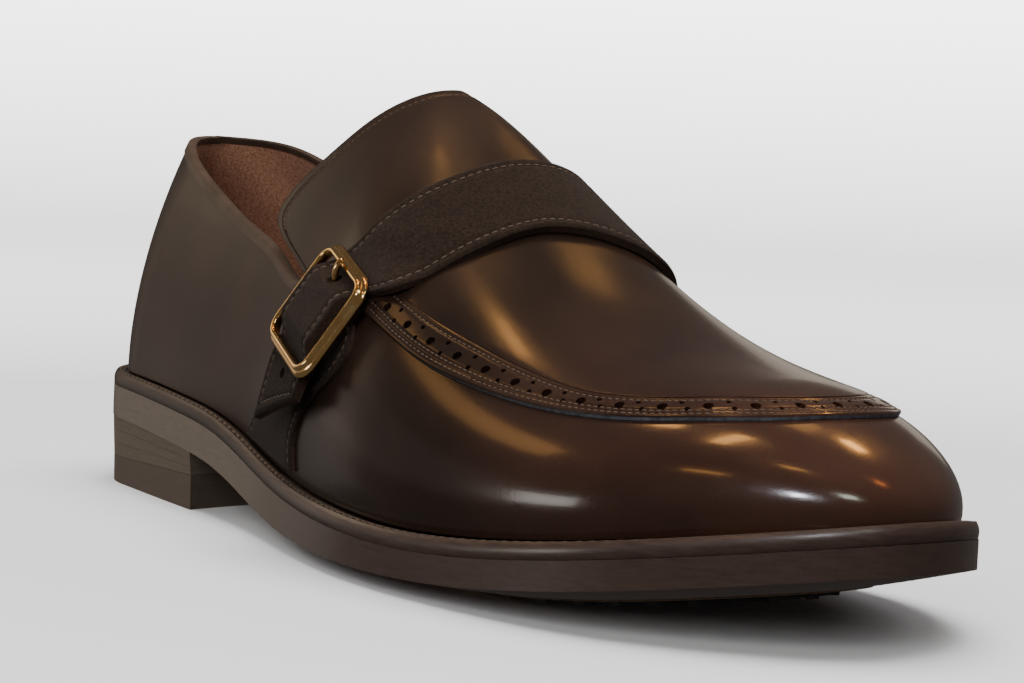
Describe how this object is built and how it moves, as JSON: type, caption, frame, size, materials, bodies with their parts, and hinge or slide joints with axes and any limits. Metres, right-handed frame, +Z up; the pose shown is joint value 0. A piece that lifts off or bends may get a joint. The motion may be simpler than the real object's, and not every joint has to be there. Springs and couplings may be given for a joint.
{
  "type": "brogue shoe",
  "caption": "Men's right slip-on shoe with a brogued moc apron, a suede monk strap with a metal buckle, a leather sole and a stacked heel.",
  "frame": {"origin": "on the floor, in the middle of the heel's underside, 40 mm ahead of the back of the sole", "axes": "+X towards the toe along the sole, +Z up, +Y towards the inner side of the foot"},
  "size_m": [0.305, 0.1079, 0.1087],
  "materials": {
    "calf": "polished dark brown calf, near black on the sides",
    "suede": "matt dark brown suede",
    "sole_leather": "stained and polished dark brown sole leather",
    "stacked_leather": "stacked taupe brown heel leather",
    "insole_leather": "smooth reddish brown lining leather",
    "rubber": "matt black rubber",
    "brass": "polished yellow brass"
  },
  "bodies": {
    "root": {"outsole": "sole_leather", "forepart_grip": "rubber", "welt": "sole_leather", "heel_stack": "stacked_leather", "top_lift": "rubber", "insole": "insole_leather", "upper": "calf", "tongue": "calf", "strap": "suede", "side_anchor": "suede", "buckle": "brass", "buckle_prong": "brass"}
  },
  "joints": []
}
